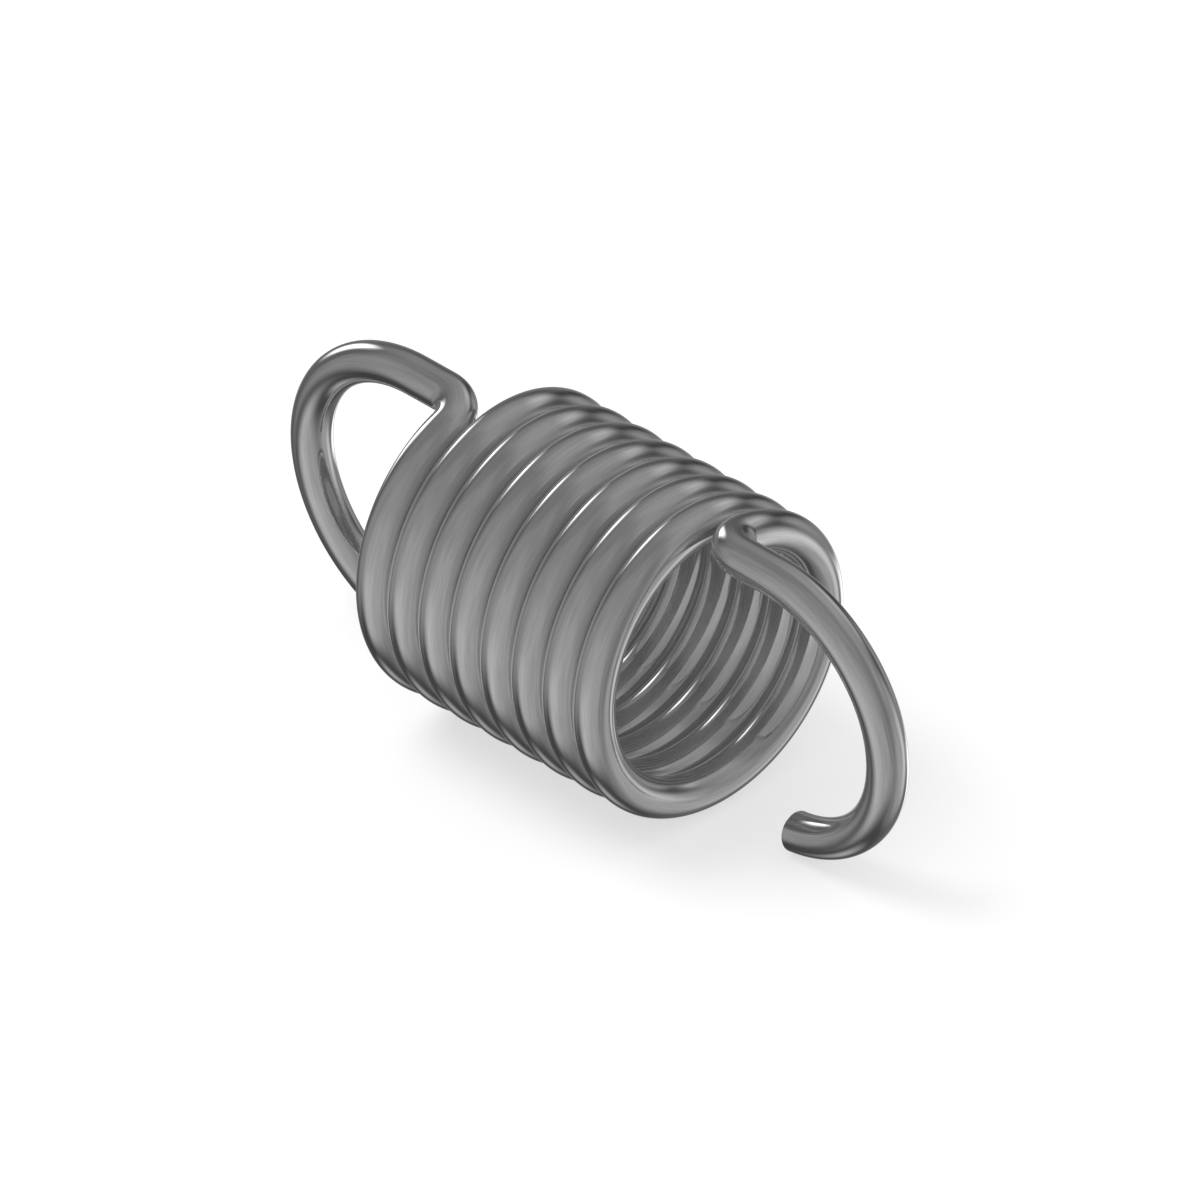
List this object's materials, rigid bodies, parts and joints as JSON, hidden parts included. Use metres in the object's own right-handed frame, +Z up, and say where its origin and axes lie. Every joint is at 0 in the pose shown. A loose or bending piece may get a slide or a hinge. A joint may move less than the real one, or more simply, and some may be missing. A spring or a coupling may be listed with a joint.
{
  "type": "extension spring",
  "caption": "Close-wound extension spring of round steel wire, with an upright open hook bent out at each end and centred on the coil's axis.",
  "frame": {"origin": "middle of the coil on its axis, which is also the middle of the overall box in X and Y and within 0.1 mm of it in Z", "axes": "+X along the coil's axis towards the front hook, the one whose cut end is open to view, +Z up towards the side where both hooks leave the coil, and Y across the plane of the hooks"},
  "size_m": [0.0496, 0.02, 0.0204],
  "materials": {
    "spring_steel": "bright drawn spring wire, near mirror-smooth, with faint drawing marks along the wire"
  },
  "bodies": {
    "root": {"spring_wire": "spring_steel"}
  },
  "joints": []
}
